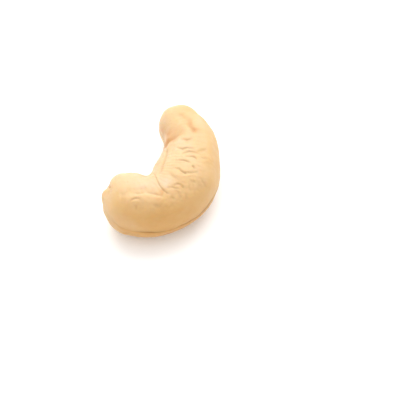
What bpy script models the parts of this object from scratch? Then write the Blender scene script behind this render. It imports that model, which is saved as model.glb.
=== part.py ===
"""A whole cashew kernel, out of its shell and skin, lying on its side.

The kernel is one solid: a bent, blunt body swept along a curved middle line. The two halves that it grew
from show as a seam round its edge, and its flanks carry folds across the bend. It lies on three small
flats. The frame: +X along its length towards the narrow end, +Y out of the hollow side, +Z up, with the
origin under the middle of its box.

A place on the surface has two numbers. Along is the distance in millimetres down the middle line, below 0
on the broad end and past LENGTH on the narrow end. Around is 0 at the back, a quarter turn on top, half a
turn in the hollow and three quarters underneath.
"""

import math

import bmesh
import bpy
import numpy as np
from mathutils import Vector, noise

NAME = "cashew_kernel"
MM = 0.001

# The middle line, from the broad end to the narrow end. Each station, in millimetres: x, y, height of the
# middle, half width out to the back, half width in to the hollow, half thickness
STATIONS = (
    (-8.6, 2.9, 5.15, 5.4, 5.1, 5.25),
    (-7.4, 0.1, 5.20, 5.5, 4.8, 5.25),
    (-4.2, -2.3, 5.45, 5.8, 5.1, 5.25),
    (-0.4, -2.7, 5.30, 6.0, 5.6, 5.40),
    (3.2, -1.9, 5.15, 5.5, 5.1, 5.25),
    (6.6, -0.5, 5.15, 4.8, 4.6, 4.85),
    (8.8, 1.3, 4.65, 4.3, 4.0, 4.75),
    (10.3, 3.1, 4.40, 3.8, 3.7, 4.50),
)
BROAD_CAP = 5.2
NARROW_CAP = 3.9
CAP_SOFT_START = 0.9
SQUARENESS = 2.3

# How finely the body is divided
# Rings that stand between the broad tip, the first station, the bend's start and end, the last station
# and the narrow tip. In the bend they crowd on its inner side, so there are fewer
RINGS = (16, 4, 9, 36, 10)
BEND_START = 2.0
BEND_END = 8.0
POINTS_ROUND = 52
# The points of a ring crowd towards the seam and the middle of each flank, where the relief is finest
CROWDING_TWICE = 0.20
CROWDING_FOUR_TIMES = 0.18

# The seam between the two halves. At the back it runs below the middle, by these drops (along, drop), and
# in the hollow above it. It is deepest at the back and faint in the hollow, and it wanders and fades. On
# each end's tip it runs out where the body has shrunk below this share of its width
SEAM_DROP = ((-8.2, 0.1), (0, 0.2), (3.5, 0.95), (6, 1.35), (9, 1.2), (13, 0.65), (21, 0.4), (30, 0.2))
SEAM_RISE_IN_HOLLOW = 0.4
SEAM_BACK_DEPTH = 0.18
SEAM_HOLLOW_DEPTH = 0.10
SEAM_HALF_WIDTH = 0.42
SEAM_TIP_SHARE = 0.25
SEAM_STRENGTH = 0.85
SEAM_CHANGE = 0.9
SEAM_FAINTEST = 0.25
SEAM_STRONGEST = 1.3
SEAM_WANDER = 0.22
SEAM_PATCH = 3.5
SEAM_SEED = Vector((5.2, 9.4, 2.6))

# Folds across the bend, on the flanks only. They come in patches, and fade out towards the lobes
FOLD_SPACING = 1.7
FOLD_DEPTH = 0.13
FOLD_WANDER = 1.5
FOLD_PATCH = 5.0
FOLD_PATCH_COVER = 0.5
FOLD_PATCH_CHANGE = 1.5
FOLD_MIDDLE = 11.0
FOLD_REACH = 6.0
FOLD_SEED = Vector((3.7, 1.9, 8.2))

# Slow swells that keep the body from looking turned
SWELL_HEIGHT = 0.20
SWELL_SIZE = 6.5
SWELL_SEED = Vector((11.3, 4.1, 0.7))

# Each ridge or groove: its half width, and its path as along, around in degrees, and height in millimetres
NUB = (0.90, ((-6.6, 62, 0.34), (-6.4, 78, 0.50), (-6.2, 98, 0.54)))
NUB_NOTCH = (
    0.60,
    ((-5.4, 142, 0.0), (-5.1, 124, -0.26), (-4.9, 108, -0.38), (-4.5, 90, -0.18), (-4.2, 76, 0.0)),
)
BROAD_CORNER = (1.30, ((-3.6, 106, 0.20), (-3.5, 124, 0.40), (-3.2, 146, 0.30)))
BROAD_BACK = (2.40, ((-5.4, 22, -0.15), (-4.3, 2, -0.40), (-2.7, 353, -0.45), (-0.9, 347, -0.25)))
WAIST_FOLD = (
    1.10,
    ((2.0, 205, 0.0), (2.1, 175, -0.16), (2.4, 150, -0.24), (2.9, 128, -0.36), (3.0, 112, -0.10)),
)
LOBE_CREASE = (
    0.75,
    (
        (15.8, 225, 0.0),
        (15.9, 195, -0.14),
        (16.1, 165, -0.32),
        (16.2, 146, -0.46),
        (16.6, 128, -0.36),
        (17.7, 108, -0.18),
        (18.4, 95, 0.0),
    ),
)
LOBE_HOLLOW = (1.80, ((20.3, 124, -0.16), (18.9, 116, -0.16)))
MIDDLE_CREST = (0.80, ((14.7, 136, 0.0), (14.9, 124, 0.22), (15.8, 108, 0.18), (16.9, 94, 0.05)))
LOBE_GROOVE = (
    0.50,
    ((22.6, 86, -0.10), (21.3, 87, -0.16), (19.9, 87, -0.20), (18.6, 85, -0.30), (17.7, 81, -0.10)),
)
LOBE_BACK = (1.20, ((22.8, 48, 0.12), (21.4, 54, 0.14)))
BROAD_SHOULDER = (1.10, ((-0.8, 66, 0.10), (1.4, 67, 0.20), (3.8, 61, 0.17), (4.8, 52, 0.0)))
SHOULDER_VALLEY = (0.70, ((-2.4, 74, -0.06), (0.2, 79, -0.14), (2.4, 80, -0.14), (4.2, 78, -0.06)))
OUTER_SHOULDER = (
    1.20,
    ((19.0, 52, 0.0), (16.2, 52, 0.12), (12.8, 45, 0.14), (10.4, 30, 0.12), (8.6, 18, 0.0)),
)
BACK_DENT = (0.60, ((13.8, 68, -0.06), (14.2, 60, -0.08)))
HOLLOW_RIM = (0.60, ((13.6, 130, -0.08), (12.0, 125, -0.10), (9.4, 121, -0.08), (6.8, 112, 0.0)))
UNDER_GROOVE = (0.60, ((3.0, 286, 0.0), (6.5, 296, -0.22), (9.5, 303, -0.12)))
UNDER_DENT = (1.60, ((17.6, 318, -0.22), (19.0, 310, -0.18)))
STROKES = (
    NUB,
    NUB_NOTCH,
    BROAD_CORNER,
    BROAD_BACK,
    WAIST_FOLD,
    LOBE_CREASE,
    LOBE_HOLLOW,
    MIDDLE_CREST,
    LOBE_GROOVE,
    LOBE_BACK,
    BROAD_SHOULDER,
    SHOULDER_VALLEY,
    OUTER_SHOULDER,
    BACK_DENT,
    HOLLOW_RIM,
    UNDER_GROOVE,
    UNDER_DENT,
)

# Where the kernel rests its relief fades out, between these heights, so that the flats are clean
FADE_LOW = 0.25
FADE_HIGH = 1.60

COLOUR = (0.83, 0.62, 0.36, 1.0)
ROUGHNESS = 0.48


def cubic(knots, values, level_ends):
    """A smooth curve through the values, as a function. Its ends run level, or straight on."""
    step = np.diff(knots)
    slope = np.diff(values) / step
    last = len(knots) - 1
    matrix = np.zeros((last + 1, last + 1))
    right = np.zeros(last + 1)
    for i in range(1, last):
        matrix[i, i - 1 : i + 2] = step[i - 1], 2 * (step[i - 1] + step[i]), step[i]
        right[i] = 6 * (slope[i] - slope[i - 1])
    if level_ends:
        matrix[0, :2] = 2 * step[0], step[0]
        matrix[last, -2:] = step[-1], 2 * step[-1]
        right[0] = 6 * slope[0]
        right[last] = -6 * slope[-1]
    else:
        matrix[0, 0] = 1
        matrix[last, last] = 1
    bend = np.linalg.solve(matrix, right)

    def at(where):
        i = np.clip(np.searchsorted(knots, where, side="right") - 1, 0, last - 1)
        before = where - knots[i]
        after = knots[i + 1] - where
        return (
            (bend[i] * after**3 + bend[i + 1] * before**3) / (6 * step[i])
            + (values[i] / step[i] - bend[i] * step[i] / 6) * after
            + (values[i + 1] / step[i] - bend[i + 1] * step[i] / 6) * before
        )

    return at


stations = np.array(STATIONS)
spans = np.linalg.norm(np.diff(stations[:, :3], axis=0), axis=1)
knots = np.concatenate([[0], np.cumsum(spans)])
middle_line = [cubic(knots, stations[:, i], level_ends=False) for i in range(3)]
half_sizes = [cubic(knots, stations[:, i], level_ends=True) for i in range(3, 6)]
LENGTH = knots[-1]
START = -BROAD_CAP * math.pi / 2
END = LENGTH + NARROW_CAP * math.pi / 2


def cap_turns(along):
    """How far each end's cap has turned inward, in radians: near 0 on the body, a quarter turn at its pole.

    The turn sets in softly, so that no line shows where the cap begins.
    """
    broad = CAP_SOFT_START * np.logaddexp(0, -along / CAP_SOFT_START)
    narrow = CAP_SOFT_START * np.logaddexp(0, (along - LENGTH) / CAP_SOFT_START)
    return -broad / BROAD_CAP, narrow / NARROW_CAP


def smooth_body(along, around):
    """Points of the body before its relief, in millimetres, for arrays of along and around (in radians)."""
    on_line = np.clip(along, 0, LENGTH)
    middle = np.stack([axis(on_line) for axis in middle_line], axis=-1)
    nudge = 0.01
    ahead = np.minimum(on_line + nudge, LENGTH)
    behind = np.maximum(on_line - nudge, 0)
    forward = np.stack([axis(ahead) - axis(behind) for axis in middle_line], axis=-1)
    forward[..., 2] = 0
    forward /= np.linalg.norm(forward, axis=-1, keepdims=True)
    outward = np.stack([forward[..., 1], -forward[..., 0], forward[..., 2]], axis=-1)
    # Each cap is a quarter of an ellipse: the rings shrink as they move out along the line
    broad_turn, narrow_turn = cap_turns(along)
    shrink = np.cos(broad_turn) * np.cos(narrow_turn)
    beyond = BROAD_CAP * np.sin(broad_turn) + NARROW_CAP * np.sin(narrow_turn)
    back, hollow, thick = (size(on_line) * shrink for size in half_sizes)
    across = np.sign(np.cos(around)) * np.abs(np.cos(around)) ** (2 / SQUARENESS)
    upward = np.sign(np.sin(around)) * np.abs(np.sin(around)) ** (2 / SQUARENESS)
    sideways = across * np.where(across > 0, back, hollow)
    points = middle + forward * beyond[..., None] + outward * sideways[..., None]
    points[..., 2] += upward * thick
    return points


def noise_at(points, size, seed):
    """Soft noise from about -1 to 1, with lumps of the given size."""
    return np.array([noise.noise(Vector(point) / size + seed) for point in points])


def stroke_height(points, half_width, path):
    """How far one ridge or groove moves each point out."""
    path = np.array(path)
    places = smooth_body(path[:, 0], np.radians(path[:, 1]))
    nearest = np.full(len(points), np.inf)
    height = np.zeros(len(points))
    for i in range(len(path) - 1):
        run = places[i + 1] - places[i]
        share = np.clip((points - places[i]) @ run / (run @ run), 0, 1)
        distance = np.linalg.norm(points - places[i] - share[:, None] * run, axis=1)
        here = path[i, 2] + share * (path[i + 1, 2] - path[i, 2])
        height = np.where(distance < nearest, here, height)
        nearest = np.minimum(distance, nearest)
    return height * np.exp(-((nearest / half_width) ** 2))


def relief(points, along, around):
    """How far each point of the smooth body moves out, in millimetres."""
    height = SWELL_HEIGHT * noise_at(points, SWELL_SIZE, SWELL_SEED)
    # The seam: a narrow groove. Backward is 1 at the back of the kernel and 0 in its hollow
    broad_turn, narrow_turn = cap_turns(along)
    shrink = np.cos(broad_turn) * np.cos(narrow_turn)
    backward = 0.5 + 0.5 * np.cos(around) * shrink
    drop = backward * cubic(*np.array(SEAM_DROP).T, level_ends=True)(along)
    drop -= (1 - backward) * SEAM_RISE_IN_HOLLOW
    wander = SEAM_WANDER * noise_at(points, SEAM_PATCH, SEAM_SEED)
    above_seam = points[:, 2] - middle_line[2](np.clip(along, 0, LENGTH)) + drop - wander
    strength = SEAM_STRENGTH + SEAM_CHANGE * noise_at(points, SEAM_PATCH, -SEAM_SEED)
    strength = np.clip(strength, SEAM_FAINTEST, SEAM_STRONGEST) * np.minimum(shrink / SEAM_TIP_SHARE, 1)
    depth = SEAM_HOLLOW_DEPTH + (SEAM_BACK_DEPTH - SEAM_HOLLOW_DEPTH) * backward
    height -= depth * strength * np.exp(-((above_seam / SEAM_HALF_WIDTH) ** 2))
    # The folds: rounded crests with narrow valleys, in patches, strongest at the middle of the flanks
    wander = FOLD_WANDER * noise_at(points, FOLD_PATCH, FOLD_SEED)
    valley = (1 - np.abs(np.sin(math.pi * (along + wander) / FOLD_SPACING))) ** 2
    patch = np.clip(FOLD_PATCH_COVER + FOLD_PATCH_CHANGE * noise_at(points, FOLD_PATCH, -FOLD_SEED), 0, 1)
    on_flank = np.sin(around) ** 2
    on_middle = np.exp(-(((along - FOLD_MIDDLE) / FOLD_REACH) ** 2))
    height -= FOLD_DEPTH * valley * patch * on_flank * on_middle
    for half_width, path in STROKES:
        height += stroke_height(points, half_width, path)
    fade = np.clip((points[:, 2] - FADE_LOW) / (FADE_HIGH - FADE_LOW), 0, 1)
    return height * fade * fade * (3 - 2 * fade)


def waxy_cream():
    """The bare kernel's pale, waxy cream."""
    material = bpy.data.materials.new("kernel_cream")
    material.use_nodes = True
    shader = material.node_tree.nodes["Principled BSDF"]
    shader.inputs["Base Color"].default_value = COLOUR
    shader.inputs["Roughness"].default_value = ROUGHNESS
    shader.inputs["Metallic"].default_value = 0.0
    return material


def kernel_mesh():
    """The kernel's mesh: a sphere's rings and poles, moved to their places on the body, with its relief."""
    rings = sum(RINGS)
    mesh = bmesh.new()
    bmesh.ops.create_uvsphere(mesh, u_segments=POINTS_ROUND, v_segments=rings, radius=1)
    sphere = np.array([vert.co for vert in mesh.verts])
    ring = np.arccos(np.clip(sphere[:, 2], -1, 1)) / math.pi * rings
    along = np.interp(ring, [0, *np.cumsum(RINGS)], [START, 0, BEND_START, BEND_END, LENGTH, END])
    around = np.arctan2(sphere[:, 1], sphere[:, 0])
    around -= CROWDING_TWICE / 2 * np.sin(2 * around) + CROWDING_FOUR_TIMES / 4 * np.sin(4 * around)
    points = smooth_body(along, around)
    for vert, point in zip(mesh.verts, points):
        vert.co = point
    bmesh.ops.recalc_face_normals(mesh, faces=mesh.faces)
    mesh.normal_update()
    for vert, height in zip(mesh.verts, relief(points, along, around)):
        vert.co += vert.normal * height
    rest_on_flats(mesh)
    centre_on_origin(mesh)
    bmesh.ops.scale(mesh, vec=(MM, MM, MM), verts=mesh.verts)
    return mesh


def rest_on_flats(mesh):
    """Presses flat what is below the surface that the kernel lies on, which makes its three flats."""
    for vert in mesh.verts:
        vert.co.z = max(vert.co.z, 0)


def centre_on_origin(mesh):
    """Moves the kernel so that the middle of its box is over the origin."""
    points = np.array([vert.co for vert in mesh.verts])
    middle = (points.min(axis=0) + points.max(axis=0)) / 2
    bmesh.ops.translate(mesh, vec=(-middle[0], -middle[1], 0), verts=mesh.verts)


def main():
    for old in list(bpy.data.objects):
        bpy.data.objects.remove(old)
    mesh = kernel_mesh()
    data = bpy.data.meshes.new(NAME)
    mesh.to_mesh(data)
    mesh.free()
    data.shade_smooth()
    data.materials.append(waxy_cream())
    kernel = bpy.data.objects.new(NAME, data)
    bpy.context.scene.collection.objects.link(kernel)


main()
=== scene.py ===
# %% [markdown]
# # A whole cashew kernel
#
# A cashew kernel is one seed. It is a little under 3 cm long, bent like a bean, and made of two halves
# that meet in a seam round its edge. This script dresses the solid that the frame holds: it builds the
# kernel's skin as a fine mesh, gives it folds with Geometry Nodes, and colours it with a procedural
# material. The frame is in metres, with +X along the kernel towards its narrow end, +Y out of its hollow
# side and +Z up. The script's own numbers are in millimetres, and in degrees or radians.

# %% Load the frame
import math

import bmesh
import bpy
import numpy as np
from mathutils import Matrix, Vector, noise


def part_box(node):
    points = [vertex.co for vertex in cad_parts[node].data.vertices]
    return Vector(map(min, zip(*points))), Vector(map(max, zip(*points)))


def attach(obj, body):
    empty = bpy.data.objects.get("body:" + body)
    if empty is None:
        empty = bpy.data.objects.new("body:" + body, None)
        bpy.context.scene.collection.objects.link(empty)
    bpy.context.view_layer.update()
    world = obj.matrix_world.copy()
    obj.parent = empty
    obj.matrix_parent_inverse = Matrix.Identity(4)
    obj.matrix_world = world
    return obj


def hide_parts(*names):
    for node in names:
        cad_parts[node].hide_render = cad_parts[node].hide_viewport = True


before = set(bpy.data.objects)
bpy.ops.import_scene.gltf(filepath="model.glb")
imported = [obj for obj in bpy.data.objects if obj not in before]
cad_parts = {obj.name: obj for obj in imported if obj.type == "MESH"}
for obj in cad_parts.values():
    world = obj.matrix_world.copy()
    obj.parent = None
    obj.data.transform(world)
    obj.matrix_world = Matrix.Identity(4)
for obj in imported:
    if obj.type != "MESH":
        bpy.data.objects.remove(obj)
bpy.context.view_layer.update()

NODE = "cashew_kernel"
MM = 0.001
solid_low, solid_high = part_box(NODE)
solid_middle = (solid_low + solid_high) / 2
print("solid, mm:", [round(side / MM, 2) for side in solid_high - solid_low])

# %% [markdown]
# ## The body
#
# A turned or sculpted lump would do for a bean, but a cashew bends through more than a right angle, and
# its section changes on the way. So the body is swept: rings stand along a curved middle line, and each
# ring is a slightly squared oval that is wider to the back than to the hollow. The stations are the same
# ones that the solid was built from, so the skin fits the solid. Between the stations every value follows
# a cubic spline, which is the curve that a bent lath would take.

# %% The stations of the middle line
# Each station, in millimetres: x, y, height of the middle, half width out to the back, half width in to
# the hollow, half thickness. The first is at the broad end
STATIONS = np.array(
    (
        (-8.6, 2.9, 5.15, 5.4, 5.1, 5.25),
        (-7.4, 0.1, 5.20, 5.5, 4.8, 5.25),
        (-4.2, -2.3, 5.45, 5.8, 5.1, 5.25),
        (-0.4, -2.7, 5.30, 6.0, 5.6, 5.40),
        (3.2, -1.9, 5.15, 5.5, 5.1, 5.25),
        (6.6, -0.5, 5.15, 4.8, 4.6, 4.85),
        (8.8, 1.3, 4.65, 4.3, 4.0, 4.75),
        (10.3, 3.1, 4.40, 3.8, 3.7, 4.50),
    )
)
BROAD_CAP = 5.2
NARROW_CAP = 3.9
CAP_SOFT_START = 0.9
SQUARENESS = 2.3
DIRECTION_STEP = 0.01


def cubic(knots, values, level_ends):
    """A smooth curve through the values, as a function. Its ends run level, or straight on."""
    step = np.diff(knots)
    slope = np.diff(values) / step
    last = len(knots) - 1
    matrix = np.zeros((last + 1, last + 1))
    right = np.zeros(last + 1)
    for i in range(1, last):
        matrix[i, i - 1 : i + 2] = step[i - 1], 2 * (step[i - 1] + step[i]), step[i]
        right[i] = 6 * (slope[i] - slope[i - 1])
    if level_ends:
        matrix[0, :2] = 2 * step[0], step[0]
        matrix[last, -2:] = step[-1], 2 * step[-1]
        right[0] = 6 * slope[0]
        right[last] = -6 * slope[-1]
    else:
        matrix[0, 0] = 1
        matrix[last, last] = 1
    bend = np.linalg.solve(matrix, right)

    def at(where):
        i = np.clip(np.searchsorted(knots, where, side="right") - 1, 0, last - 1)
        before = where - knots[i]
        after = knots[i + 1] - where
        return (
            (bend[i] * after**3 + bend[i + 1] * before**3) / (6 * step[i])
            + (values[i] / step[i] - bend[i] * step[i] / 6) * after
            + (values[i + 1] / step[i] - bend[i + 1] * step[i] / 6) * before
        )

    return at


knots = np.concatenate([[0], np.cumsum(np.linalg.norm(np.diff(STATIONS[:, :3], axis=0), axis=1))])
middle_line = [cubic(knots, STATIONS[:, i], level_ends=False) for i in range(3)]
half_sizes = [cubic(knots, STATIONS[:, i], level_ends=True) for i in range(3, 6)]
LENGTH = knots[-1]
START = -BROAD_CAP * math.pi / 2
END = LENGTH + NARROW_CAP * math.pi / 2
print("middle line, mm:", round(LENGTH, 2))

# %% [markdown]
# A place on the skin has two numbers, as on a globe. Along is the distance down the middle line in
# millimetres, below 0 on the broad end and past the line's length on the narrow one. Around turns once
# about the line: 0 at the back, a quarter turn on top, half a turn in the hollow.

# %% A place on the body
def cap_turns(along):
    """How far each end's cap has turned inward, in radians: a quarter turn at its pole."""
    broad = CAP_SOFT_START * np.logaddexp(0, -along / CAP_SOFT_START)
    narrow = CAP_SOFT_START * np.logaddexp(0, (along - LENGTH) / CAP_SOFT_START)
    return -broad / BROAD_CAP, narrow / NARROW_CAP


def smooth_body(along, around):
    """Points of the body before its relief, in millimetres, for arrays of along and around (in radians)."""
    on_line = np.clip(along, 0, LENGTH)
    middle = np.stack([axis(on_line) for axis in middle_line], axis=-1)
    ahead = np.minimum(on_line + DIRECTION_STEP, LENGTH)
    behind = np.maximum(on_line - DIRECTION_STEP, 0)
    forward = np.stack([axis(ahead) - axis(behind) for axis in middle_line], axis=-1)
    forward[..., 2] = 0
    forward /= np.linalg.norm(forward, axis=-1, keepdims=True)
    outward = np.stack([forward[..., 1], -forward[..., 0], forward[..., 2]], axis=-1)
    broad_turn, narrow_turn = cap_turns(along)
    shrink = np.cos(broad_turn) * np.cos(narrow_turn)
    beyond = BROAD_CAP * np.sin(broad_turn) + NARROW_CAP * np.sin(narrow_turn)
    back, hollow, thick = (size(on_line) * shrink for size in half_sizes)
    across = np.sign(np.cos(around)) * np.abs(np.cos(around)) ** (2 / SQUARENESS)
    upward = np.sign(np.sin(around)) * np.abs(np.sin(around)) ** (2 / SQUARENESS)
    sideways = across * np.where(across > 0, back, hollow)
    points = middle + forward * beyond[..., None] + outward * sideways[..., None]
    points[..., 2] += upward * thick
    return points


print("poles stand along at, mm:", round(START, 2), "and", round(END, 2))

# %% [markdown]
# A sphere already has rings and two poles, so the fine mesh starts as one. Every point is read as a ring
# and a turn, and moved to its place on the body. The rings stand about a tenth of a millimetre apart,
# which is fine enough for folds that are under a millimetre wide, and the points crowd towards the seam.
# The sweep leaves a faint ring where each round cap starts. There a point takes the average of its
# neighbours along the kernel, which moves it out or in by three hundredths of a millimetre at most.

# %% The fine mesh
RINGS_BROAD = 64
RINGS_ALONG = 226
RINGS_NARROW = 50
POINTS_ROUND = 288
CROWDING_TWICE = 0.20
CROWDING_FOUR_TIMES = 0.30
CAP_BLEND_REACH = 1.0
CAP_BLEND_SHIFTS = np.linspace(-0.6, 0.6, 9)


def blended_body(along, around):
    """The body, with the faint ring where each cap starts averaged out along the kernel."""
    plain = smooth_body(along, around)
    average = sum(smooth_body(along + shift, around) for shift in CAP_BLEND_SHIFTS) / len(CAP_BLEND_SHIFTS)
    from_cap = np.minimum(np.abs(along), np.abs(along - LENGTH))
    share = np.exp(-((from_cap / CAP_BLEND_REACH) ** 2))
    return plain + share[:, None] * (average - plain)


def fine_mesh():
    """A sphere's rings, moved to their places on the body. Returns its mesh with along and around."""
    rings = RINGS_BROAD + RINGS_ALONG + RINGS_NARROW
    mesh = bmesh.new()
    bmesh.ops.create_uvsphere(mesh, u_segments=POINTS_ROUND, v_segments=rings, radius=1)
    sphere = np.array([vert.co for vert in mesh.verts])
    ring = np.arccos(np.clip(sphere[:, 2], -1, 1)) / math.pi * rings
    along = np.interp(ring, [0, RINGS_BROAD, RINGS_BROAD + RINGS_ALONG, rings], [START, 0, LENGTH, END])
    around = np.arctan2(sphere[:, 1], sphere[:, 0])
    around -= CROWDING_TWICE / 2 * np.sin(2 * around) + CROWDING_FOUR_TIMES / 4 * np.sin(4 * around)
    for vert, point in zip(mesh.verts, blended_body(along, around)):
        vert.co = point
    bmesh.ops.recalc_face_normals(mesh, faces=mesh.faces)
    mesh.normal_update()
    return mesh, along, around


body, along, around = fine_mesh()
points = np.array([vert.co for vert in body.verts])
normals = np.array([vert.normal for vert in body.verts])
print("skin:", len(body.verts), "points,", len(body.faces), "faces")

# %% [markdown]
# ## The main relief
#
# On the real kernel some forms are always in the same place: the nub of the germ on the broad tip, and the
# creases and shoulders where the seed was pressed against its shell. They could be sculpted, but a list
# is easier to read and to change. So each is a stroke, like a thumb drawn through wax: a half width, and a
# path of places on the skin. A place is along, around in degrees, and the height there, above 0 for a
# ridge and below 0 for a groove.

# %% The main strokes
NUB = (0.90, ((-6.6, 62, 0.34), (-6.4, 78, 0.50), (-6.2, 98, 0.54)))
NUB_NOTCH = (
    0.60,
    ((-5.4, 142, 0.0), (-5.1, 124, -0.26), (-4.9, 108, -0.38), (-4.5, 90, -0.18), (-4.2, 76, 0.0)),
)
BROAD_CORNER = (1.30, ((-3.6, 106, 0.20), (-3.5, 124, 0.40), (-3.2, 146, 0.30)))
BROAD_BACK = (2.40, ((-5.4, 22, -0.15), (-4.3, 2, -0.40), (-2.7, 353, -0.45), (-0.9, 347, -0.25)))
WAIST_FOLD = (
    1.10,
    ((2.0, 205, 0.0), (2.1, 175, -0.16), (2.4, 150, -0.24), (2.9, 128, -0.36), (3.0, 112, -0.10)),
)
LOBE_CREASE = (
    0.75,
    (
        (15.8, 225, 0.0),
        (15.9, 195, -0.14),
        (16.1, 165, -0.32),
        (16.2, 146, -0.46),
        (16.6, 128, -0.36),
        (17.7, 108, -0.18),
        (18.4, 95, 0.0),
    ),
)
LOBE_HOLLOW = (1.80, ((20.3, 124, -0.16), (18.9, 116, -0.16)))
MIDDLE_CREST = (0.80, ((14.7, 136, 0.0), (14.9, 124, 0.22), (15.8, 108, 0.18), (16.9, 94, 0.05)))
LOBE_GROOVE = (
    0.45,
    (
        (22.9, 90, 0.0),
        (22.2, 87, -0.11),
        (21.2, 88, -0.15),
        (20.1, 87, -0.20),
        (18.8, 85, -0.30),
        (18.1, 82, -0.22),
        (17.4, 79, 0.0),
    ),
)
LOBE_BACK = (1.20, ((22.8, 48, 0.12), (21.4, 54, 0.14)))
BROAD_SHOULDER = (1.10, ((-0.8, 66, 0.10), (1.4, 67, 0.20), (3.8, 61, 0.17), (4.8, 52, 0.0)))
SHOULDER_VALLEY = (0.70, ((-2.4, 74, -0.06), (0.2, 79, -0.14), (2.4, 80, -0.14), (4.2, 78, -0.06)))
OUTER_SHOULDER = (
    1.20,
    ((19.0, 52, 0.0), (16.2, 52, 0.12), (12.8, 45, 0.14), (10.4, 30, 0.12), (8.6, 18, 0.0)),
)
BACK_DENT = (0.40, ((13.8, 68, -0.06), (14.2, 60, -0.08)))
UNDER_GROOVE = (0.60, ((3.0, 286, 0.0), (6.5, 296, -0.22), (9.5, 303, -0.12)))
UNDER_DENT = (1.60, ((17.6, 318, -0.22), (19.0, 310, -0.18)))
MAIN_STROKES = (
    NUB,
    NUB_NOTCH,
    BROAD_CORNER,
    BROAD_BACK,
    WAIST_FOLD,
    LOBE_CREASE,
    LOBE_HOLLOW,
    MIDDLE_CREST,
    LOBE_GROOVE,
    LOBE_BACK,
    BROAD_SHOULDER,
    SHOULDER_VALLEY,
    OUTER_SHOULDER,
    BACK_DENT,
    UNDER_GROOVE,
    UNDER_DENT,
)
print("main strokes:", len(MAIN_STROKES))


# %% The height of a stroke
def stroke_height(points, half_width, path):
    """How far one stroke moves each point out, in millimetres."""
    path = np.array(path)
    places = smooth_body(path[:, 0], np.radians(path[:, 1]))
    nearest = np.full(len(points), np.inf)
    height = np.zeros(len(points))
    for i in range(len(path) - 1):
        run = places[i + 1] - places[i]
        share = np.clip((points - places[i]) @ run / (run @ run), 0, 1)
        distance = np.linalg.norm(points - places[i] - share[:, None] * run, axis=1)
        here = path[i, 2] + share * (path[i + 1, 2] - path[i, 2])
        height = np.where(distance < nearest, here, height)
        nearest = np.minimum(distance, nearest)
    return height * np.exp(-((nearest / half_width) ** 2))


print("nub, mm:", round(float(stroke_height(points, *NUB).max()), 2))

# %% [markdown]
# Small marks come from the kernel's own life: a hairline crack across the top of the bend, a fine line
# along the hollow's rim, rungs where the flesh was pressed together in the bend, and a few curls where it
# wrinkled as it dried. On the broad shoulder are a small hook, the line of a step and fine nicks, and
# short dents lie here and there. They are strokes too, only narrower.

# %% The small marks
HOLLOW_RIM = (
    0.26,
    ((13.6, 130, -0.10), (12.0, 125, -0.13), (9.4, 121, -0.12), (6.8, 113, -0.10), (5.4, 108, 0.0)),
)
CRACK = (
    0.11,
    (
        (5.1, 122, -0.04),
        (4.75, 105, -0.13),
        (4.6, 89, -0.15),
        (4.8, 77, -0.17),
        (5.0, 72, -0.20),
        (5.1, 69, -0.08),
    ),
)
HOOK = (0.22, ((0.5, 61, -0.04), (0.75, 66, -0.17), (1.15, 69, -0.19), (1.5, 68, -0.16), (1.8, 63, -0.03)))
STEP_LINE = (0.22, ((2.2, 82, 0.0), (3.0, 79, -0.09), (3.6, 75, -0.13), (4.1, 71, -0.13), (4.4, 67, -0.04)))
SHOULDER_MARKS = (
    (0.30, ((0.8, 62, 0.05), (1.5, 62, 0.05))),
    (0.24, ((0.6, 79, 0.0), (1.3, 78, -0.09), (1.8, 79, -0.08), (2.3, 83, 0.0))),
    (0.36, ((0.2, 73, 0.02), (1.1, 73, 0.07), (2.2, 75, 0.08), (3.1, 73, 0.09), (3.9, 66, 0.06))),
    (0.22, ((1.25, 52.5, -0.09), (1.25, 48.5, -0.06))),
    (0.40, ((3.0, 57, -0.04), (3.4, 54, -0.08), (3.7, 51, -0.03))),
    (0.28, ((2.93, 50.5, 0.09), (2.95, 49.5, 0.09))),
    (0.30, ((2.46, 48.5, 0.08), (2.40, 46.5, 0.08))),
    (0.26, ((-1.3, 75, -0.03), (-1.1, 66, -0.06), (-0.9, 56, -0.03))),
    (0.26, ((-0.6, 73, -0.03), (-0.3, 63, -0.06), (-0.05, 54, -0.02))),
)
TIP_DIMPLE = (0.50, ((22.5, 94, -0.04), (22.6, 91, -0.07)))
CURLS = (
    (0.18, ((6.55, 77, -0.05), (6.95, 75, -0.14), (7.15, 71, -0.13), (7.15, 65, -0.15), (6.95, 63, 0.0))),
    (0.18, ((5.55, 79, -0.06), (6.05, 76, -0.11), (6.25, 72, -0.11), (6.6, 65, -0.05))),
    (0.20, ((6.45, 73.5, 0.03), (6.75, 70, 0.09), (6.85, 64, 0.05))),
    (0.20, ((8.2, 80, 0.02), (8.5, 76, 0.07), (9.1, 70, 0.07), (9.3, 67, 0.0))),
    (0.22, ((5.7, 74, 0.03), (6.35, 67, 0.05), (6.5, 63, 0.09), (6.5, 51, 0.07))),
    (0.24, ((6.2, 61, -0.03), (6.2, 53, -0.06))),
    (0.24, ((6.85, 50, -0.06), (6.65, 44, -0.06))),
    (0.22, ((8.1, 63, -0.03), (7.7, 57, -0.07), (7.5, 50, -0.03))),
    (0.32, ((7.2, 99, -0.02), (7.4, 93, -0.09), (7.3, 87, -0.10), (7.5, 80, -0.07), (8.0, 75, -0.03))),
)
DENTS = (
    (0.26, ((5.3, 59, -0.09), (5.4, 57, -0.09))),
    (0.32, ((4.3, 51, -0.04), (4.4, 49, -0.04))),
    (0.32, ((5.0, 45, -0.04), (5.1, 43, -0.04))),
    (0.26, ((12.8, 65, -0.05), (12.9, 56, -0.05))),
    (0.28, ((14.0, 72, -0.05), (14.4, 65, -0.10), (14.8, 57, -0.05))),
)
RUNG_HALF_WIDTH = 0.21
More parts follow.
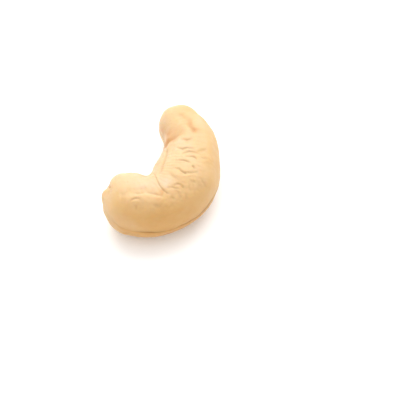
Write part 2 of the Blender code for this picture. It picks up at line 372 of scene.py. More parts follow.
RUNGS = (
    ((16.0, 102, -0.06), (15.9, 93, -0.14), (16.3, 86, -0.06)),
    ((14.0, 107, -0.07), (13.8, 97, -0.17), (14.1, 91, -0.16), (14.1, 82, -0.08)),
    ((12.8, 94, -0.10), (13.3, 88, -0.17), (13.4, 81, -0.14), (13.5, 73, -0.07)),
    ((12.0, 90, -0.06), (12.4, 79, -0.16), (12.3, 76, -0.18), (12.1, 72, -0.06)),
    ((10.6, 100, -0.07), (11.1, 90, -0.14), (11.1, 85, -0.16), (11.0, 80, -0.05)),
    ((10.6, 74.5, -0.20), (10.4, 71, -0.14), (10.5, 68, -0.04)),
    ((8.8, 97, -0.06), (9.1, 90, -0.13), (8.9, 85, -0.18), (8.9, 79, -0.18)),
    ((9.0, 79, -0.05), (9.2, 76, -0.13), (9.5, 71, -0.12), (10.1, 64, -0.07)),
    ((8.45, 66, -0.05), (8.5, 62, -0.11), (8.6, 58, -0.11), (8.75, 54, -0.02)),
    ((9.6, 53, -0.04), (9.5, 47, -0.08), (9.4, 41, -0.07), (9.3, 32, -0.02)),
)
SMALL_MARKS = (HOLLOW_RIM, CRACK, HOOK, STEP_LINE, TIP_DIMPLE, *SHOULDER_MARKS, *CURLS, *DENTS)
SMALL_MARKS += tuple((RUNG_HALF_WIDTH, rung) for rung in RUNGS)
print("small marks:", len(SMALL_MARKS))

# %% [markdown]
# Shade is painted into the flesh's colour as a warm brown: in the groove and the crease of the narrow
# lobe, in its hollow, on its inner side and at its neck, on the broad shoulder, in the first rung, in the
# notch beside the nub, in the hollow of the bend, and in a long honey-coloured band at the back's lower
# edge. It is also darker round the curls and beside the crack. Highlights and light are painted in as paler
# patches: on the crest of the bend, on both lobes, on the broad back and on the outer shoulder. A painted
# picture could hold such patches, but it would have to be stretched over the bend. So they are laid out as
# strokes too, with a strength in place of the height, and they move nothing. Below 0 is painted light.

# %% Painted shade, painted light and spots
# Each has a half width, then places along and around with the strength there: above 0 painted shade or
# a darker spot, below 0 painted light
SHADE_LIGHT_AND_SPOTS = {
    # Darker orange beside the crack
    "spot beside the crack": (0.42, ((4.6, 78, 0.8), (4.45, 74, 0.9))),
    # Painted shade in the narrow lobe's groove, hollow and inner side
    "narrow lobe's groove": (0.60, ((20.0, 86, 0.40), (18.8, 83, 1.05), (18.1, 80, 0.95))),
    "narrow lobe's groove, towards the tip": (0.60, ((22.5, 88, 0.15), (21.2, 88, 0.40), (20.2, 86, 0.30))),
    "narrow lobe's hollow": (1.70, ((21.0, 126, 0.10), (19.4, 124, 0.42), (17.6, 120, 0.30))),
    "narrow lobe's inner side": (
        1.20,
        ((24.0, 164, 0.35), (22.0, 154, 0.60), (20.0, 146, 0.40), (17.6, 138, 0.40)),
    ),
    # Darker round the curls
    "round the curls": (0.90, ((5.0, 76, 0.25), (5.8, 75, 0.40), (6.6, 72, 0.30), (7.2, 70, 0.25))),
    # Painted shade: broad shoulder, crease, first rung, notch, hollow of the bend, neck, back's lower edge
    "broad shoulder": (1.80, ((-1.5, 62, 0.12), (1.0, 58, 0.16), (2.6, 55, 0.10))),
    "narrow lobe's crease": (
        0.80,
        ((16.2, 150, 0.40), (15.6, 138, 0.55), (15.8, 126, 0.60), (16.5, 113, 0.30)),
    ),
    "first rung": (0.50, ((16.0, 99, 0.20), (15.9, 92, 0.40), (16.3, 87, 0.20))),
    "notch beside the nub": (0.60, ((-5.2, 128, 0.50), (-4.9, 104, 0.40), (-4.4, 86, 0.25))),
    "hollow of the bend": (2.00, ((11.5, 150, 0.20), (8.0, 145, 0.25), (5.5, 140, 0.15))),
    "neck of the narrow lobe": (1.60, ((21.0, 160, 0.30), (18.6, 150, 0.60), (16.6, 145, 0.50))),
    "back's lower edge": (
        1.30,
        (
            (-3.0, 335, 0.15),
            (1.0, 337, 0.40),
            (3.5, 340, 0.50),
            (6.0, 336, 0.40),
            (9.0, 332, 0.80),
            (13.0, 330, 1.00),
            (17.0, 330, 0.70),
            (20.0, 335, 0.20),
        ),
    ),
    # Painted highlights, and painted light on the broad back and the outer shoulder
    "painted highlight beside the crack": (1.10, ((5.6, 95, -0.40), (5.8, 86, -0.90), (6.0, 80, -0.40))),
    "painted highlight on the narrow lobe": (1.00, ((20.9, 62, -0.30), (19.2, 58, -0.30))),
    "painted highlight on the broad lobe": (1.40, ((-0.2, 96, -0.20), (1.6, 93, -0.50), (3.4, 92, -0.40))),
    "painted light on the broad back": (
        1.30,
        ((-2.5, 34, -0.12), (-0.5, 22, -0.20), (0.8, 11, -0.25), (1.6, 2, -0.12)),
    ),
    "painted highlight on the crest": (0.70, ((14.9, 118, -0.15), (15.0, 108, -0.40), (15.6, 100, -0.20))),
    "painted light on the outer shoulder": (1.10, ((8.2, 52, -0.10), (9.4, 42, -0.15))),
}
print("painted shade, painted light and spots:", len(SHADE_LIGHT_AND_SPOTS))

# %% [markdown]
# ## The seam
#
# The halves meet in a fine groove round the edge. A stroke would have to name every place on the way, so
# the groove is found another way: it is where a point's height above the middle line is 0, after a drop
# that changes along the back. It lies in a soft trough, the flesh below it stands a little proud, and
# noise makes it wander, fade and come back.

# %% The seam's height
# Places along, with how far the seam lies below the middle line there
SEAM_DROP = ((-8.2, 0.1), (0, 0.2), (3.5, 0.95), (6, 1.35), (9, 1.2), (13, 0.65), (21, 0.4), (30, 0.2))
SEAM_RISE_IN_HOLLOW = 0.4
SEAM_BACK_DEPTH = 0.14
SEAM_HOLLOW_DEPTH = 0.08
SEAM_HALF_WIDTH = 0.17
SEAM_TROUGH_SHARE = 0.55
SEAM_TROUGH_HALF_WIDTH = 0.60
SEAM_STEP = 0.04
SEAM_STEP_WIDTH = 0.25
SEAM_STEP_REACH = 1.20
SEAM_STRENGTH = 0.85
SEAM_CHANGE = 0.9
SEAM_FAINTEST = 0.25
SEAM_STRONGEST = 1.3
SEAM_AT_BROAD_END = 0.2
SEAM_GAINS_AT = 1.0
SEAM_WANDER = 0.22
SEAM_PATCH = 3.5
SEAM_SEED = Vector((5.2, 9.4, 2.6))


def noise_at(points, size, seed):
    """Soft noise from about -1 to 1, with lumps of the given size."""
    return np.array([noise.noise(Vector(point) / size + seed) for point in points])


def backwardness(along, around):
    """1 on the kernel's back, 0 in its hollow, half way at the tips and on the flanks."""
    broad_turn, narrow_turn = cap_turns(along)
    return 0.5 + 0.5 * np.cos(around) * np.cos(broad_turn) * np.cos(narrow_turn)


def seam_height(points, along, around):
    """How far the seam moves each point out, in millimetres."""
    backward = backwardness(along, around)
    drop = backward * cubic(*np.array(SEAM_DROP).T, level_ends=True)(along)
    drop -= (1 - backward) * SEAM_RISE_IN_HOLLOW
    wander = SEAM_WANDER * noise_at(points, SEAM_PATCH, SEAM_SEED)
    above = points[:, 2] - middle_line[2](np.clip(along, 0, LENGTH)) + drop - wander
    strength = SEAM_STRENGTH + SEAM_CHANGE * noise_at(points, SEAM_PATCH, -SEAM_SEED)
    strength = np.clip(strength, SEAM_FAINTEST, SEAM_STRONGEST)
    past_broad_end = 0.5 + 0.5 * np.tanh(along - SEAM_GAINS_AT)
    strength *= SEAM_AT_BROAD_END + (1 - SEAM_AT_BROAD_END) * past_broad_end
    depth = (SEAM_HOLLOW_DEPTH + (SEAM_BACK_DEPTH - SEAM_HOLLOW_DEPTH) * backward) * strength
    groove = np.exp(-((above / SEAM_HALF_WIDTH) ** 2))
    trough = SEAM_TROUGH_SHARE * np.exp(-((above / SEAM_TROUGH_HALF_WIDTH) ** 2))
    step = SEAM_STEP * np.tanh(above / SEAM_STEP_WIDTH) * np.exp(-((above / SEAM_STEP_REACH) ** 2))
    return -depth * (groove + trough) - strength * step


seam = seam_height(points, along, around)
print("seam, mm:", round(float(seam.min()), 2), "to", round(float(seam.max()), 2))

# %% [markdown]
# ## Raising the relief
#
# A form with a plain path and an even edge looks modelled. So the main strokes and the patches of painted
# shade, painted light and darker spots are read at places that soft noise has pushed about by half a
# millimetre or less, and their edges wander. The small marks and the seam stay where they are. Slow swells
# and ripples keep the body from looking turned. Near the surface that the kernel lies on, all relief fades
# out, because it rests on three small flats.

# %% Raise the relief
WAVER = 0.60
WAVER_SIZE = 1.6
WAVER_SEEDS = (Vector((3.7, 0.2, 8.8)), Vector((7.1, 6.3, 1.9)), Vector((0.4, 2.8, 5.5)))
SWELL_HEIGHT = 0.20
SWELL_SIZE = 6.5
SWELL_SEED = Vector((11.3, 4.1, 0.7))
RIPPLE_HEIGHT = 0.085
RIPPLE_SIZE = 1.9
FADE_LOW = 0.25
FADE_HIGH = 1.60

waver = np.stack([noise_at(points, WAVER_SIZE, seed) for seed in WAVER_SEEDS], axis=-1)
wavy = points + WAVER * waver
fine = seam + sum(stroke_height(points, *mark) for mark in SMALL_MARKS)
main = sum(stroke_height(wavy, *stroke) for stroke in MAIN_STROKES)
# Painted shade and darker spots above 0, painted light below 0
shade_light_and_spots = sum(stroke_height(wavy, *patch) for patch in SHADE_LIGHT_AND_SPOTS.values())
marks = fine + main
swells = SWELL_HEIGHT * noise_at(points, SWELL_SIZE, SWELL_SEED)
swells += RIPPLE_HEIGHT * noise_at(points, RIPPLE_SIZE, -SWELL_SEED)
fade = np.clip((points[:, 2] - FADE_LOW) / (FADE_HIGH - FADE_LOW), 0, 1)
fade = fade * fade * (3 - 2 * fade)
points += normals * ((marks + swells) * fade)[:, None]
print("relief, mm:", round(float((marks * fade).min()), 2), "to", round(float((marks * fade).max()), 2))

# %% [markdown]
# The mesh keeps what the next steps need as attributes on its points: the place along and around, how much
# of the relief is left, how deep the grooves are, how much painted shade, painted light or darker spot the
# flesh has, and how far the point is towards the back. The main strokes are wide, so they count for less in
# the grooves' depth than the seam and the small marks. A groove's depth starts from 0 in a soft curve,
# which gives the painted shade in it a soft edge. The middle of the skin's box is set over that of the
# solid's box here, so the two share one place.

# %% Store the skin as an object
MAIN_GROOVE_SHARE = 0.22
GROOVE_SOFTNESS = 0.01
groove = GROOVE_SOFTNESS * np.logaddexp(0, -(fine + MAIN_GROOVE_SHARE * main) / GROOVE_SOFTNESS)


def store(data, name, values):
    """Keeps one number for each point of a mesh under a name."""
    data.attributes.new(name, "FLOAT", "POINT").data.foreach_set("value", values.astype(np.float32))


def skin_object(mesh, points):
    """Makes the skin's object, in metres."""
    data = bpy.data.meshes.new("kernel_skin")
    mesh.to_mesh(data)
    mesh.free()
    low = points.min(axis=0)
    high = points.max(axis=0)
    middle = (low + high) / 2
    placed = (points - (middle[0], middle[1], 0)) * MM + (solid_middle.x, solid_middle.y, 0)
    data.vertices.foreach_set("co", placed.astype(np.float32).ravel())
    data.shade_smooth()
    skin = bpy.data.objects.new("kernel_skin", data)
    bpy.context.scene.collection.objects.link(skin)
    return skin


skin = skin_object(body, points)
store(skin.data, "along", along)
store(skin.data, "around", around)
store(skin.data, "fade", fade)
store(skin.data, "groove", groove * fade)
store(skin.data, "shade_light_and_spots", shade_light_and_spots)
store(skin.data, "backward", backwardness(along, around))
print("attributes:", [kept.name for kept in skin.data.attributes if kept.data_type == "FLOAT"])

# %% [markdown]
# ## Sums in node trees
#
# Both the folds and the material are sums of waves and noise. Drawn by hand, each plus sign is a node and
# two wires. This class wraps an output socket, so that a plain Python expression adds those Math nodes
# itself. Any other node comes from its one method, which takes the node's type, its settings, and then
# what goes in its sockets. A socket is named by its identifier, which is different for each socket.

# %% The class for sums
class Value:
    """An output socket that can stand in an expression."""

    def __init__(self, socket):
        self.socket = socket

    @staticmethod
    def of(tree, kind, settings=None, sockets=None, output=0):
        """Adds a node: first its settings, then the value or the link of each socket."""
        node = tree.nodes.new(kind)
        for name, setting in (settings or {}).items():
            setattr(node, name, setting)
        places = {socket.identifier: socket for socket in node.inputs}
        for name, value in (sockets or {}).items():
            if isinstance(value, Value):
                tree.links.new(value.socket, places[name])
            else:
                places[name].default_value = value
        return Value(node.outputs[output])

    def maths(self, operation, *others, swap=False):
        """Adds a Math node on this value and the others. Swap puts this one last."""
        values = [self, *others]
        if swap:
            values.reverse()
        names = ("Value", "Value_001", "Value_002")
        tree = self.socket.id_data
        return Value.of(tree, "ShaderNodeMath", {"operation": operation}, dict(zip(names, values)))

    def __add__(self, other):
        return self.maths("ADD", other)

    def __radd__(self, other):
        return self.maths("ADD", other, swap=True)

    def __sub__(self, other):
        return self.maths("SUBTRACT", other)

    def __rsub__(self, other):
        return self.maths("SUBTRACT", other, swap=True)

    def __mul__(self, other):
        return self.maths("MULTIPLY", other)

    def __rmul__(self, other):
        return self.maths("MULTIPLY", other, swap=True)

    def __truediv__(self, other):
        return self.maths("DIVIDE", other)

    def __rtruediv__(self, other):
        return self.maths("DIVIDE", other, swap=True)

    def __pow__(self, other):
        return self.maths("POWER", other)

    def __abs__(self):
        return self.maths("ABSOLUTE")

    def sine(self):
        return self.maths("SINE")

    def limited(self):
        """The value, kept between 0 and 1."""
        return self.maths("MAXIMUM", 0.0).maths("MINIMUM", 1.0)

    def hill(self, middle, reach):
        """1 where the value is at the middle, falling off smoothly to each side."""
        away = (self - middle) / reach
        return (away * away * -1.0).maths("EXPONENT")


# %% [markdown]
# ## The folds
#
# The flesh shrank as the kernel dried, so fine folds run across its bend. They repeat every millimetre or
# so, wander, fork and come in patches. Hundreds of them can't be drawn one by one, so a Geometry Nodes
# tree makes them: a wave along the kernel whose place is pushed about by noise. The wave's valleys are
# narrow and its crests round. Between them runs a net of squiggles, which follow a contour line of a soft
# noise, as on a map of hills. Both fade out towards the seam and far from the bend.

# %% The folds' sizes
FOLD_INPUTS = {
    "Fold Spacing": 0.80,
    "Fold Depth": 0.10,
    "Fold Wander": 0.75,
    "Net Size": 1.0,
    "Net Width": 0.22,
    "Net Depth": 0.08,
    "Seed": 3.0,
}
# The folds lean over the flanks, by so many millimetres for each radian around, within limits
LEAN_AT_BROAD_END = 7.5
LEAN_LOST_ALONG = 0.5
LEAN_LEAST = 0.3
LEAN_MOST = 3.2
WANDER_SIZE = 4.5
VALLEY_SHARPNESS = 1.6
# Where each is strongest along the kernel, how far it reaches, and what is left of both beyond that
FOLD_MIDDLE = 11.8
FOLD_REACH = 4.2
NET_MIDDLE = 8.0
NET_REACH = 6.5
FAR_SHARE = 0.2
# Patches: how much they cover, how sharp their edges are, their size, and what is added to the seed
FOLD_PATCH = (0.35, 2.4, 3.0, 5.0)
NET_PATCH = (0.45, 1.8, 3.6, 14.0)
NET_SEED_STEP = 9.0
# The net is full a little way up the flanks, and thins out on the very top
NET_FLANK_GAIN = 1.7
NET_AT_SEAM = 0.15
NET_TOP_SHARPNESS = 6.0
NET_TOP_LOSS = 0.6
# How much of the squiggles' depth goes into the painted shade in the creases
NET_SHADE_SHARE = 0.6
print("folds:", FOLD_INPUTS)


# %% Tools for the folds' tree
def group_input(group_in, name):
    """The named input of a node tree, as a value."""
    return Value(next(socket for socket in group_in.outputs if socket.name == name))


def soft_noise(tree, place, size, seed, detail=0.0):
    """Noise from about -1 to 1 at a place in millimetres, with lumps of the given size."""
    sockets = {"Vector": place, "W": seed, "Scale": 1.0 / size, "Detail": detail}
    return Value.of(tree, "ShaderNodeTexNoise", {"noise_dimensions": "4D"}, sockets) * 2.0 - 1.0


def named(tree, name):
    """A point attribute, as a value."""
    return Value.of(tree, "GeometryNodeInputNamedAttribute", {"data_type": "FLOAT"}, {"Name": name})


def in_millimetres(tree, vector):
    """A place in metres, as a place in millimetres."""
    sockets = {"Vector": vector, "Scale": 1 / MM}
    return Value.of(tree, "ShaderNodeVectorMath", {"operation": "SCALE"}, sockets)


def patches(tree, place, seed, cover, contrast, size, seed_step):
    """1 inside soft-edged patches and 0 outside them."""
    return (cover + soft_noise(tree, place, size, seed + seed_step, 1.0) * contrast).limited()


def strength_along(along, middle, reach):
    """1 at the middle, and a small share far from it."""
    return along.hill(middle, reach) * (1.0 - FAR_SHARE) + FAR_SHARE


def fold_field(tree, given, place, along, around):
    """How deep the folds are, from 0 to 1."""
    lean = LEAN_AT_BROAD_END - along * LEAN_LOST_ALONG
    lean = lean.maths("MAXIMUM", LEAN_LEAST).maths("MINIMUM", LEAN_MOST)
    wander = soft_noise(tree, place, WANDER_SIZE, given["Seed"], 1.0) * given["Fold Wander"]
    pushed = along + lean * (abs(around) - math.pi / 2) + wander
    # A valley is where the wave crosses 0: narrow and sharp, with a round crest between two of them
    valley = (1.0 - abs((pushed * math.pi / given["Fold Spacing"]).sine())) ** VALLEY_SHARPNESS
    patch = patches(tree, place, given["Seed"], *FOLD_PATCH)
    return valley * patch * around.sine() ** 2.0 * strength_along(along, FOLD_MIDDLE, FOLD_REACH)


def net_field(tree, given, place, along, around):
    """How deep the net of squiggles is, from 0 to 1."""
    flank = around.sine() ** 2.0
    # A squiggle follows a contour of smooth noise, where it passes 0
    contour = soft_noise(tree, place, given["Net Size"], given["Seed"] + NET_SEED_STEP)
    valley = contour.hill(0.0, given["Net Width"])
    patch = patches(tree, place, given["Seed"], *NET_PATCH)
    up_flank = (flank * NET_FLANK_GAIN + NET_AT_SEAM).limited()
    off_top = 1.0 - flank**NET_TOP_SHARPNESS * NET_TOP_LOSS
    return valley * patch * strength_along(along, NET_MIDDLE, NET_REACH) * up_flank * off_top


# %% [markdown]
# The tree stores the depth of all creases as an attribute, which paints shade into the colour and roughens
# the gloss. Then it moves each point inward along its normal, presses flat what is below the surface that
# the kernel lies on, and gives the skin its material.

# %% The folds' tree
def folds_tree(material):
    """The tree that folds the skin. Its inputs are in millimetres."""
    tree = bpy.data.node_groups.new("kernel_folds", "GeometryNodeTree")
    tree.is_modifier = True
    face = tree.interface
    face.new_socket("Skin", in_out="INPUT", socket_type="NodeSocketGeometry")
    for name, value in FOLD_INPUTS.items():
        face.new_socket(name, in_out="INPUT", socket_type="NodeSocketFloat").default_value = value
    face.new_socket("Skin", in_out="OUTPUT", socket_type="NodeSocketGeometry")
    group_in = tree.nodes.new("NodeGroupInput")
    given = {name: group_input(group_in, name) for name in ("Skin", *FOLD_INPUTS)}

    place = in_millimetres(tree, Value.of(tree, "GeometryNodeInputPosition"))
    along = named(tree, "along")
    around = named(tree, "around")
    fade = named(tree, "fade")
    fold_depth = fold_field(tree, given, place, along, around) * given["Fold Depth"] * fade
    net_depth = net_field(tree, given, place, along, around) * given["Net Depth"] * fade
    depth = fold_depth + net_depth
    # The creases' depth, for the painted shade in them and for the roughness
    crease = named(tree, "groove") + fold_depth + net_depth * NET_SHADE_SHARE
    kept = Value.of(
        tree,
        "GeometryNodeStoreNamedAttribute",
        {"data_type": "FLOAT", "domain": "POINT"},
        {"Geometry": given["Skin"], "Name": "crease", "Value": crease},
    )
    inward = Value.of(
        tree,
        "ShaderNodeVectorMath",
        {"operation": "SCALE"},
        {"Vector": Value.of(tree, "GeometryNodeInputNormal"), "Scale": depth * -MM},
    )
    folded = Value.of(tree, "GeometryNodeSetPosition", None, {"Geometry": kept, "Offset": inward})

    moved = Value.of(tree, "GeometryNodeInputPosition")
    parts = Value.of(tree, "ShaderNodeSeparateXYZ", None, {"Vector": moved})
    x, y, z = (Value(parts.socket.node.outputs[i]) for i in range(3))
    above = Value.of(tree, "ShaderNodeCombineXYZ", None, {"X": x, "Y": y, "Z": z.maths("MAXIMUM", 0.0)})
    rested = Value.of(tree, "GeometryNodeSetPosition", None, {"Geometry": folded, "Position": above})

    real = Value.of(tree, "GeometryNodeRealizeInstances", None, {"Geometry": rested})
    dressed = Value.of(tree, "GeometryNodeSetMaterial", None, {"Geometry": real, "Material": material})
    group_out = tree.nodes.new("NodeGroupOutput")
    tree.links.new(dressed.socket, group_out.inputs[0])
    return tree


# %% [markdown]
# ## The flesh
#
# Cashew flesh is a pale, waxy cream that light enters a little way before it comes out again, which warms
# the shade. It clouds at random over a few millimetres, from ivory to straw. Shade is painted into the
# colour as well: the flesh is made darker and more orange along the back and lighter in the hollow, deeper
# and more orange in the creases, and brown where the strokes lay painted shade; paler patches are painted
# highlights and light. One picture stretched over it would smear at the tips. So the colour is worked out
# at each place: a cream is mixed with ivory and straw by how far back the place is, which paints the shade
# on the back, and by soft noise, then with a pale for painted light and a brown for painted shade and
# darker spots, and with a dark brown for painted shade by the depth of the creases. The gloss changes with
# the same clouds. A fine grain with a few pits, too small for the mesh, is left to a Bump node.

# %% The flesh's colours and shares
IVORY = (0.72, 0.51, 0.29, 1.0)
CREAM = (0.67, 0.42, 0.17, 1.0)
# Straw: the clouds' darker tone, and along the back painted shade
STRAW = (0.64, 0.345, 0.10, 1.0)
# A dark brown for the painted shade in the creases, pits and squiggles
CREASE_SHADE_BROWN = (0.30, 0.14, 0.035, 1.0)
# A brown for painted shade, and for darker spots
SHADE_AND_SPOT_BROWN = (0.52, 0.22, 0.05, 1.0)
# A pale for painted highlights and painted light
PAINTED_LIGHT_PALE = (0.74, 0.60, 0.46, 1.0)
LIMB_MIDDLE = 13.0
LIMB_REACH = 5.5
BROAD_END = -4.0
BROAD_END_REACH = 5.0
FLESH_GLOW = (1.0, 0.46, 0.16)
FLESH_GLOW_DEPTH = 1.1 * MM
FLESH_GLOW_SHARE = 0.35
WAX_IOR = 1.46
# Which of a node's outputs are read
OBJECT_PLACE = 3
ATTRIBUTE_NUMBER = 2
MIXED_COLOUR = 2
# Noises: the size of the lumps, the seed, and how much finer detail is added
CLOUDS = (5.0, 1.5, 2.0)
MOTTLE = (1.1, 7.5, 3.0)
LUMPS = (0.55, 9.5, 2.0)
GRAIN = (0.22, 12.5, 2.0)
PITS_PER_MM = 1.1
PIT_SHARPNESS = 6.0
PIT_PATCH_CONTRAST = 3.0
# The painted shade on the back is a little lighter on the limb and at the broad end
LIMB_LESS_SHADE = 0.16
BROAD_END_LESS_SHADE = 0.10
# Ivory and straw: a start, then what the painted shade on the back, the clouds and the mottle add
IVORY_START, IVORY_CLOUDS, IVORY_MOTTLE = 1.05, 0.45, 0.30
STRAW_START, STRAW_CLOUDS, STRAW_MOTTLE = -0.1, 0.40, 0.40
BACK_SHADE_GAIN, BACK_SHADE_SHARPNESS, STRAW_MOST = 1.3, 6.0, 0.85
# Tints: how fast each comes in, and its most. The pale paints light, the dark brown paints shade in the
# creases and pits, and the brown paints shade and darker spots
PAINTED_LIGHT_MOST = 0.6
CREASE_SHADE_GAIN, CREASE_SHADE_MOST = 4.0, 0.62
PIT_SHADE = 0.25
SHADE_AND_SPOT_GAIN, SHADE_AND_SPOT_MOTTLE, SHADE_AND_SPOT_MOST = 0.85, 0.5, 0.70
# Roughness: on the plain flesh, then what the clouds, the mottle and the creases add
ROUGHNESS, ROUGHNESS_CLOUDS, ROUGHNESS_MOTTLE = 0.47, 0.07, 0.05
ROUGHNESS_CREASE_GAIN, ROUGHNESS_CREASE = 2.0, 0.15
# The bump's parts, against lumps of 1
BUMP_STRENGTH = 0.6
BUMP_HEIGHT = 0.045 * MM
BUMP_GRAIN, BUMP_MOTTLE, BUMP_PITS = 0.6, 1.5, 1.5
print("lumps of the flesh's noises, mm:", [lump[0] for lump in (CLOUDS, MOTTLE, LUMPS, GRAIN)])


# %% The kernel's material
def flesh_tint(tree, share, first, second):
    """A colour between two: the first where the share is 0, the second where it is 1."""
    sockets = {"Factor_Float": share, "A_Color": first, "B_Color": second}
    return Value.of(tree, "ShaderNodeMix", {"data_type": "RGBA"}, sockets, output=MIXED_COLOUR)


def waxy_flesh():
    """The kernel's material."""
    material = bpy.data.materials.new("cashew_flesh")
    material.use_nodes = True
    tree = material.node_tree
    shader = tree.nodes["Principled BSDF"]
    place = in_millimetres(tree, Value.of(tree, "ShaderNodeTexCoord", output=OBJECT_PLACE))
    crease, shade_light_and_spots, backward, along = (
        Value.of(tree, "ShaderNodeAttribute", {"attribute_name": name}, output=ATTRIBUTE_NUMBER)
        for name in ("crease", "shade_light_and_spots", "backward", "along")
    )
    clouds, mottle, lumps, grain = (
        soft_noise(tree, place, *lump) for lump in (CLOUDS, MOTTLE, LUMPS, GRAIN)
    )
    pits = Value.of(tree, "ShaderNodeTexVoronoi", None, {"Vector": place, "Scale": PITS_PER_MM})
    pits = (1.0 - pits * PIT_SHARPNESS).limited() * (mottle * PIT_PATCH_CONTRAST).limited()

    # Darker and more orange towards the back, lighter towards the hollow: painted shade
    back_shade = backward - along.hill(LIMB_MIDDLE, LIMB_REACH) * LIMB_LESS_SHADE
    back_shade = back_shade - along.hill(BROAD_END, BROAD_END_REACH) * BROAD_END_LESS_SHADE
    ivory = (IVORY_START - back_shade + clouds * IVORY_CLOUDS + mottle * IVORY_MOTTLE).limited()
    straw = back_shade**BACK_SHADE_SHARPNESS * BACK_SHADE_GAIN + STRAW_START
    straw = (straw - clouds * STRAW_CLOUDS + mottle * STRAW_MOTTLE).limited() * STRAW_MOST
    # Painted light from the strokes
    pale = (shade_light_and_spots * -1.0).limited() * PAINTED_LIGHT_MOST
    # Painted shade in the creases, squiggles and pits
    crease_shade = (crease * CREASE_SHADE_GAIN + pits * PIT_SHADE).limited() * CREASE_SHADE_MOST
    # Painted shade and darker spots from the strokes
    shade_and_spots = (shade_light_and_spots * (SHADE_AND_SPOT_GAIN + mottle * SHADE_AND_SPOT_MOTTLE)).limited() * SHADE_AND_SPOT_MOST
    colour = flesh_tint(tree, ivory, CREAM, IVORY)
    for share, tint in ((straw, STRAW), (pale, PAINTED_LIGHT_PALE), (crease_shade, CREASE_SHADE_BROWN), (shade_and_spots, SHADE_AND_SPOT_BROWN)):
        colour = flesh_tint(tree, share, colour, tint)
    tree.links.new(colour.socket, shader.inputs["Base Color"])

    roughness = ROUGHNESS + clouds * ROUGHNESS_CLOUDS + mottle * ROUGHNESS_MOTTLE
    roughness = roughness + (crease * ROUGHNESS_CREASE_GAIN).limited() * ROUGHNESS_CREASE
    tree.links.new(roughness.socket, shader.inputs["Roughness"])
    height = grain * BUMP_GRAIN + lumps + mottle * BUMP_MOTTLE - pits * BUMP_PITS
    sockets = {"Strength": BUMP_STRENGTH, "Distance": BUMP_HEIGHT, "Height": height}
    bump = Value.of(tree, "ShaderNodeBump", None, sockets)
    tree.links.new(bump.socket, shader.inputs["Normal"])
    shader.inputs["Metallic"].default_value = 0.0
    shader.inputs["IOR"].default_value = WAX_IOR
    shader.inputs["Subsurface Weight"].default_value = FLESH_GLOW_SHARE
    shader.inputs["Subsurface Radius"].default_value = FLESH_GLOW
    shader.inputs["Subsurface Scale"].default_value = FLESH_GLOW_DEPTH
    return material


flesh = waxy_flesh()
print("flesh:", len(flesh.node_tree.nodes), "nodes")

# %% [markdown]
# The tree goes on the skin as a modifier, and its inputs are set by their identifiers before Blender
# works the object out. Then the result is made a plain mesh, because what is handed on holds no modifier.

# %% Fold the skin
def folded_kernel(skin, material):
    """The skin with its folds, as a plain mesh object."""
    tree = folds_tree(material)
    modifier = skin.modifiers.new("folds", "NODES")
    modifier.node_group = tree
    for item in tree.interface.items_tree:
        if item.in_out == "INPUT" and item.name in FOLD_INPUTS:
            modifier[item.identifier] = FOLD_INPUTS[item.name]
    graph = bpy.context.evaluated_depsgraph_get()
    data = bpy.data.meshes.new_from_object(skin.evaluated_get(graph), depsgraph=graph)
    kernel = bpy.data.objects.new("kernel", data)
    bpy.context.scene.collection.objects.link(kernel)
    bpy.data.objects.remove(skin)
    return kernel


kernel = folded_kernel(skin, flesh)
kernel.data.shade_smooth()
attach(kernel, "root")
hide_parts(NODE)
crease_values = np.zeros(len(kernel.data.vertices), np.float32)
kernel.data.attributes["crease"].data.foreach_get("value", crease_values)
kernel.data.calc_loop_triangles()
print("kernel:", len(kernel.data.loop_triangles), "triangles")
print("deepest crease, mm:", round(float(crease_values.max()), 2))

# %% [markdown]
# ## Floor and world
#
# The kernel lies on plain white. A sheet that curves up behind would show its bend in low views, so the
# floor is flat and wide, it glows a little, and the world that shows past it is white to the camera. The
# world lights the kernel with less than full strength, which leaves the shade some depth.

# %% Floor and world
FLOOR_WHITE = (0.93, 0.93, 0.93, 1.0)
FLOOR_ROUGHNESS = 0.9
FLOOR_SHINE = 0.1
FLOOR_GLOW = 0.10
FLOOR_HALF = 1.5
SKY_STRENGTH = 0.72
WHITE = (1.0, 1.0, 1.0, 1.0)


def white_floor():
    """A plain floor under the kernel."""
    data = bpy.data.meshes.new("floor")
    corners = [(-FLOOR_HALF, -FLOOR_HALF, 0), (FLOOR_HALF, -FLOOR_HALF, 0), (FLOOR_HALF, FLOOR_HALF, 0)]
    data.from_pydata([*corners, (-FLOOR_HALF, FLOOR_HALF, 0)], [], [(0, 1, 2, 3)])
    material = bpy.data.materials.new("floor_white")
    material.use_nodes = True
    shader = material.node_tree.nodes["Principled BSDF"]
    shader.inputs["Base Color"].default_value = FLOOR_WHITE
    shader.inputs["Roughness"].default_value = FLOOR_ROUGHNESS
    shader.inputs["Specular IOR Level"].default_value = FLOOR_SHINE
    shader.inputs["Emission Color"].default_value = WHITE
    shader.inputs["Emission Strength"].default_value = FLOOR_GLOW
    data.materials.append(material)
    floor = bpy.data.objects.new("floor", data)
    bpy.context.scene.collection.objects.link(floor)
    return floor


def white_world():
    """Light from all round, which the camera sees as white."""
    world = bpy.data.worlds.new("studio")
    world.use_nodes = True
    tree = world.node_tree
    background = tree.nodes["Background"]
    seen = Value.of(tree, "ShaderNodeLightPath")
    strength = SKY_STRENGTH + seen * (1.0 - SKY_STRENGTH)
    background.inputs["Color"].default_value = WHITE
    tree.links.new(strength.socket, background.inputs["Strength"])
    bpy.context.scene.world = world


white_floor()
white_world()
print("floor, mm:", 2 * FLOOR_HALF / MM)

# %% [markdown]
# ## Light
#
# A small lamp would give a nut hard shadows. So the main light is a large soft box above and behind, which
# keeps the top bright and leaves the side towards the camera in soft shade. A second box overhead keeps
# the shadow short and pale, and a weak third one at the left opens the shade there. Their directions are
# given from where the camera stands: away from it, up, and to its right.

# %% The camera's directions
AZIMUTH = math.radians(-64.8)
ELEVATION = math.radians(54.0)

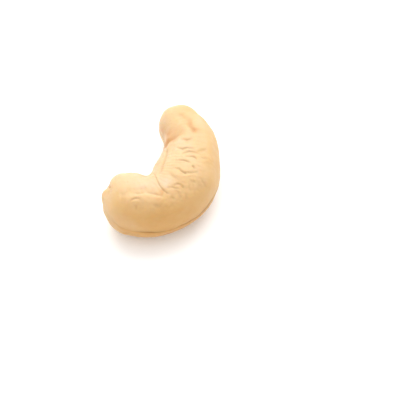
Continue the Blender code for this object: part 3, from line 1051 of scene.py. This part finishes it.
to_right = Vector((math.cos(AZIMUTH), math.sin(AZIMUTH), 0))
to_camera = Vector(
    (math.sin(AZIMUTH) * math.cos(ELEVATION), -math.cos(AZIMUTH) * math.cos(ELEVATION), math.sin(ELEVATION))
)
to_top = to_camera.cross(to_right)
away = -Vector((to_camera.x, to_camera.y, 0)).normalized()
up = Vector((0, 0, 1))
print("to the camera:", [round(part, 2) for part in to_camera])

# %% Lights
def soft_box(name, direction, distance, side, power):
    """A square white area light that shines on the kernel from a direction."""
    light = bpy.data.lights.new(name, "AREA")
    light.shape = "SQUARE"
    light.size = side
    light.energy = power
    lamp = bpy.data.objects.new(name, light)
    lamp.visible_camera = False
    lamp.location = solid_middle + direction.normalized() * distance
    lamp.rotation_mode = "QUATERNION"
    lamp.rotation_quaternion = direction.to_track_quat("Z", "Y")
    bpy.context.scene.collection.objects.link(lamp)


key_direction = away * 1.0 + up * 1.1 + to_right * 0.05
fill_direction = to_right * -1.0 + up * 0.5 - away * 0.4
soft_box("key", key_direction, distance=0.65, side=0.80, power=4.4)
soft_box("top", up, distance=0.60, side=0.70, power=1.3)
soft_box("fill", fill_direction, distance=0.65, side=0.60, power=0.45)

# %% [markdown]
# ## Camera
#
# The camera looks down at 54 degrees. A short lens close by would swell the near lobe, so it stands well
# back with a long one, which keeps the shape true. The lens is worked out from how many pixels a
# millimetre takes, and the camera is moved sideways until the kernel is at its place in the frame.

# %% The camera
CAMERA_DISTANCE = 0.30
FRAME_PIXELS = 418
PIXELS_PER_MM = 5.8
SENSOR_WIDTH = 36.0
KERNEL_PIXEL = Vector((172.3, 173.0))
NEAREST_SEEN = 0.01
FARTHEST_SEEN = 10.0


def camera():
    """A camera at the photograph's angle, with the kernel at its place in the frame."""
    lens = bpy.data.cameras.new("camera")
    lens.sensor_width = SENSOR_WIDTH
    lens.lens = SENSOR_WIDTH * CAMERA_DISTANCE / (FRAME_PIXELS / PIXELS_PER_MM * MM)
    lens.clip_start = NEAREST_SEEN
    lens.clip_end = FARTHEST_SEEN
    eye = bpy.data.objects.new("camera", lens)
    off = (KERNEL_PIXEL - Vector((FRAME_PIXELS / 2, FRAME_PIXELS / 2))) / PIXELS_PER_MM * MM
    target = solid_middle - to_right * off.x + to_top * off.y
    eye.location = target + to_camera * CAMERA_DISTANCE
    eye.rotation_mode = "QUATERNION"
    eye.rotation_quaternion = (-to_camera).to_track_quat("-Z", "Y")
    bpy.context.scene.collection.objects.link(eye)
    return eye


bpy.context.scene.camera = camera()
bpy.context.scene.view_settings.view_transform = "Standard"
print("lens, mm:", round(bpy.context.scene.camera.data.lens, 1))
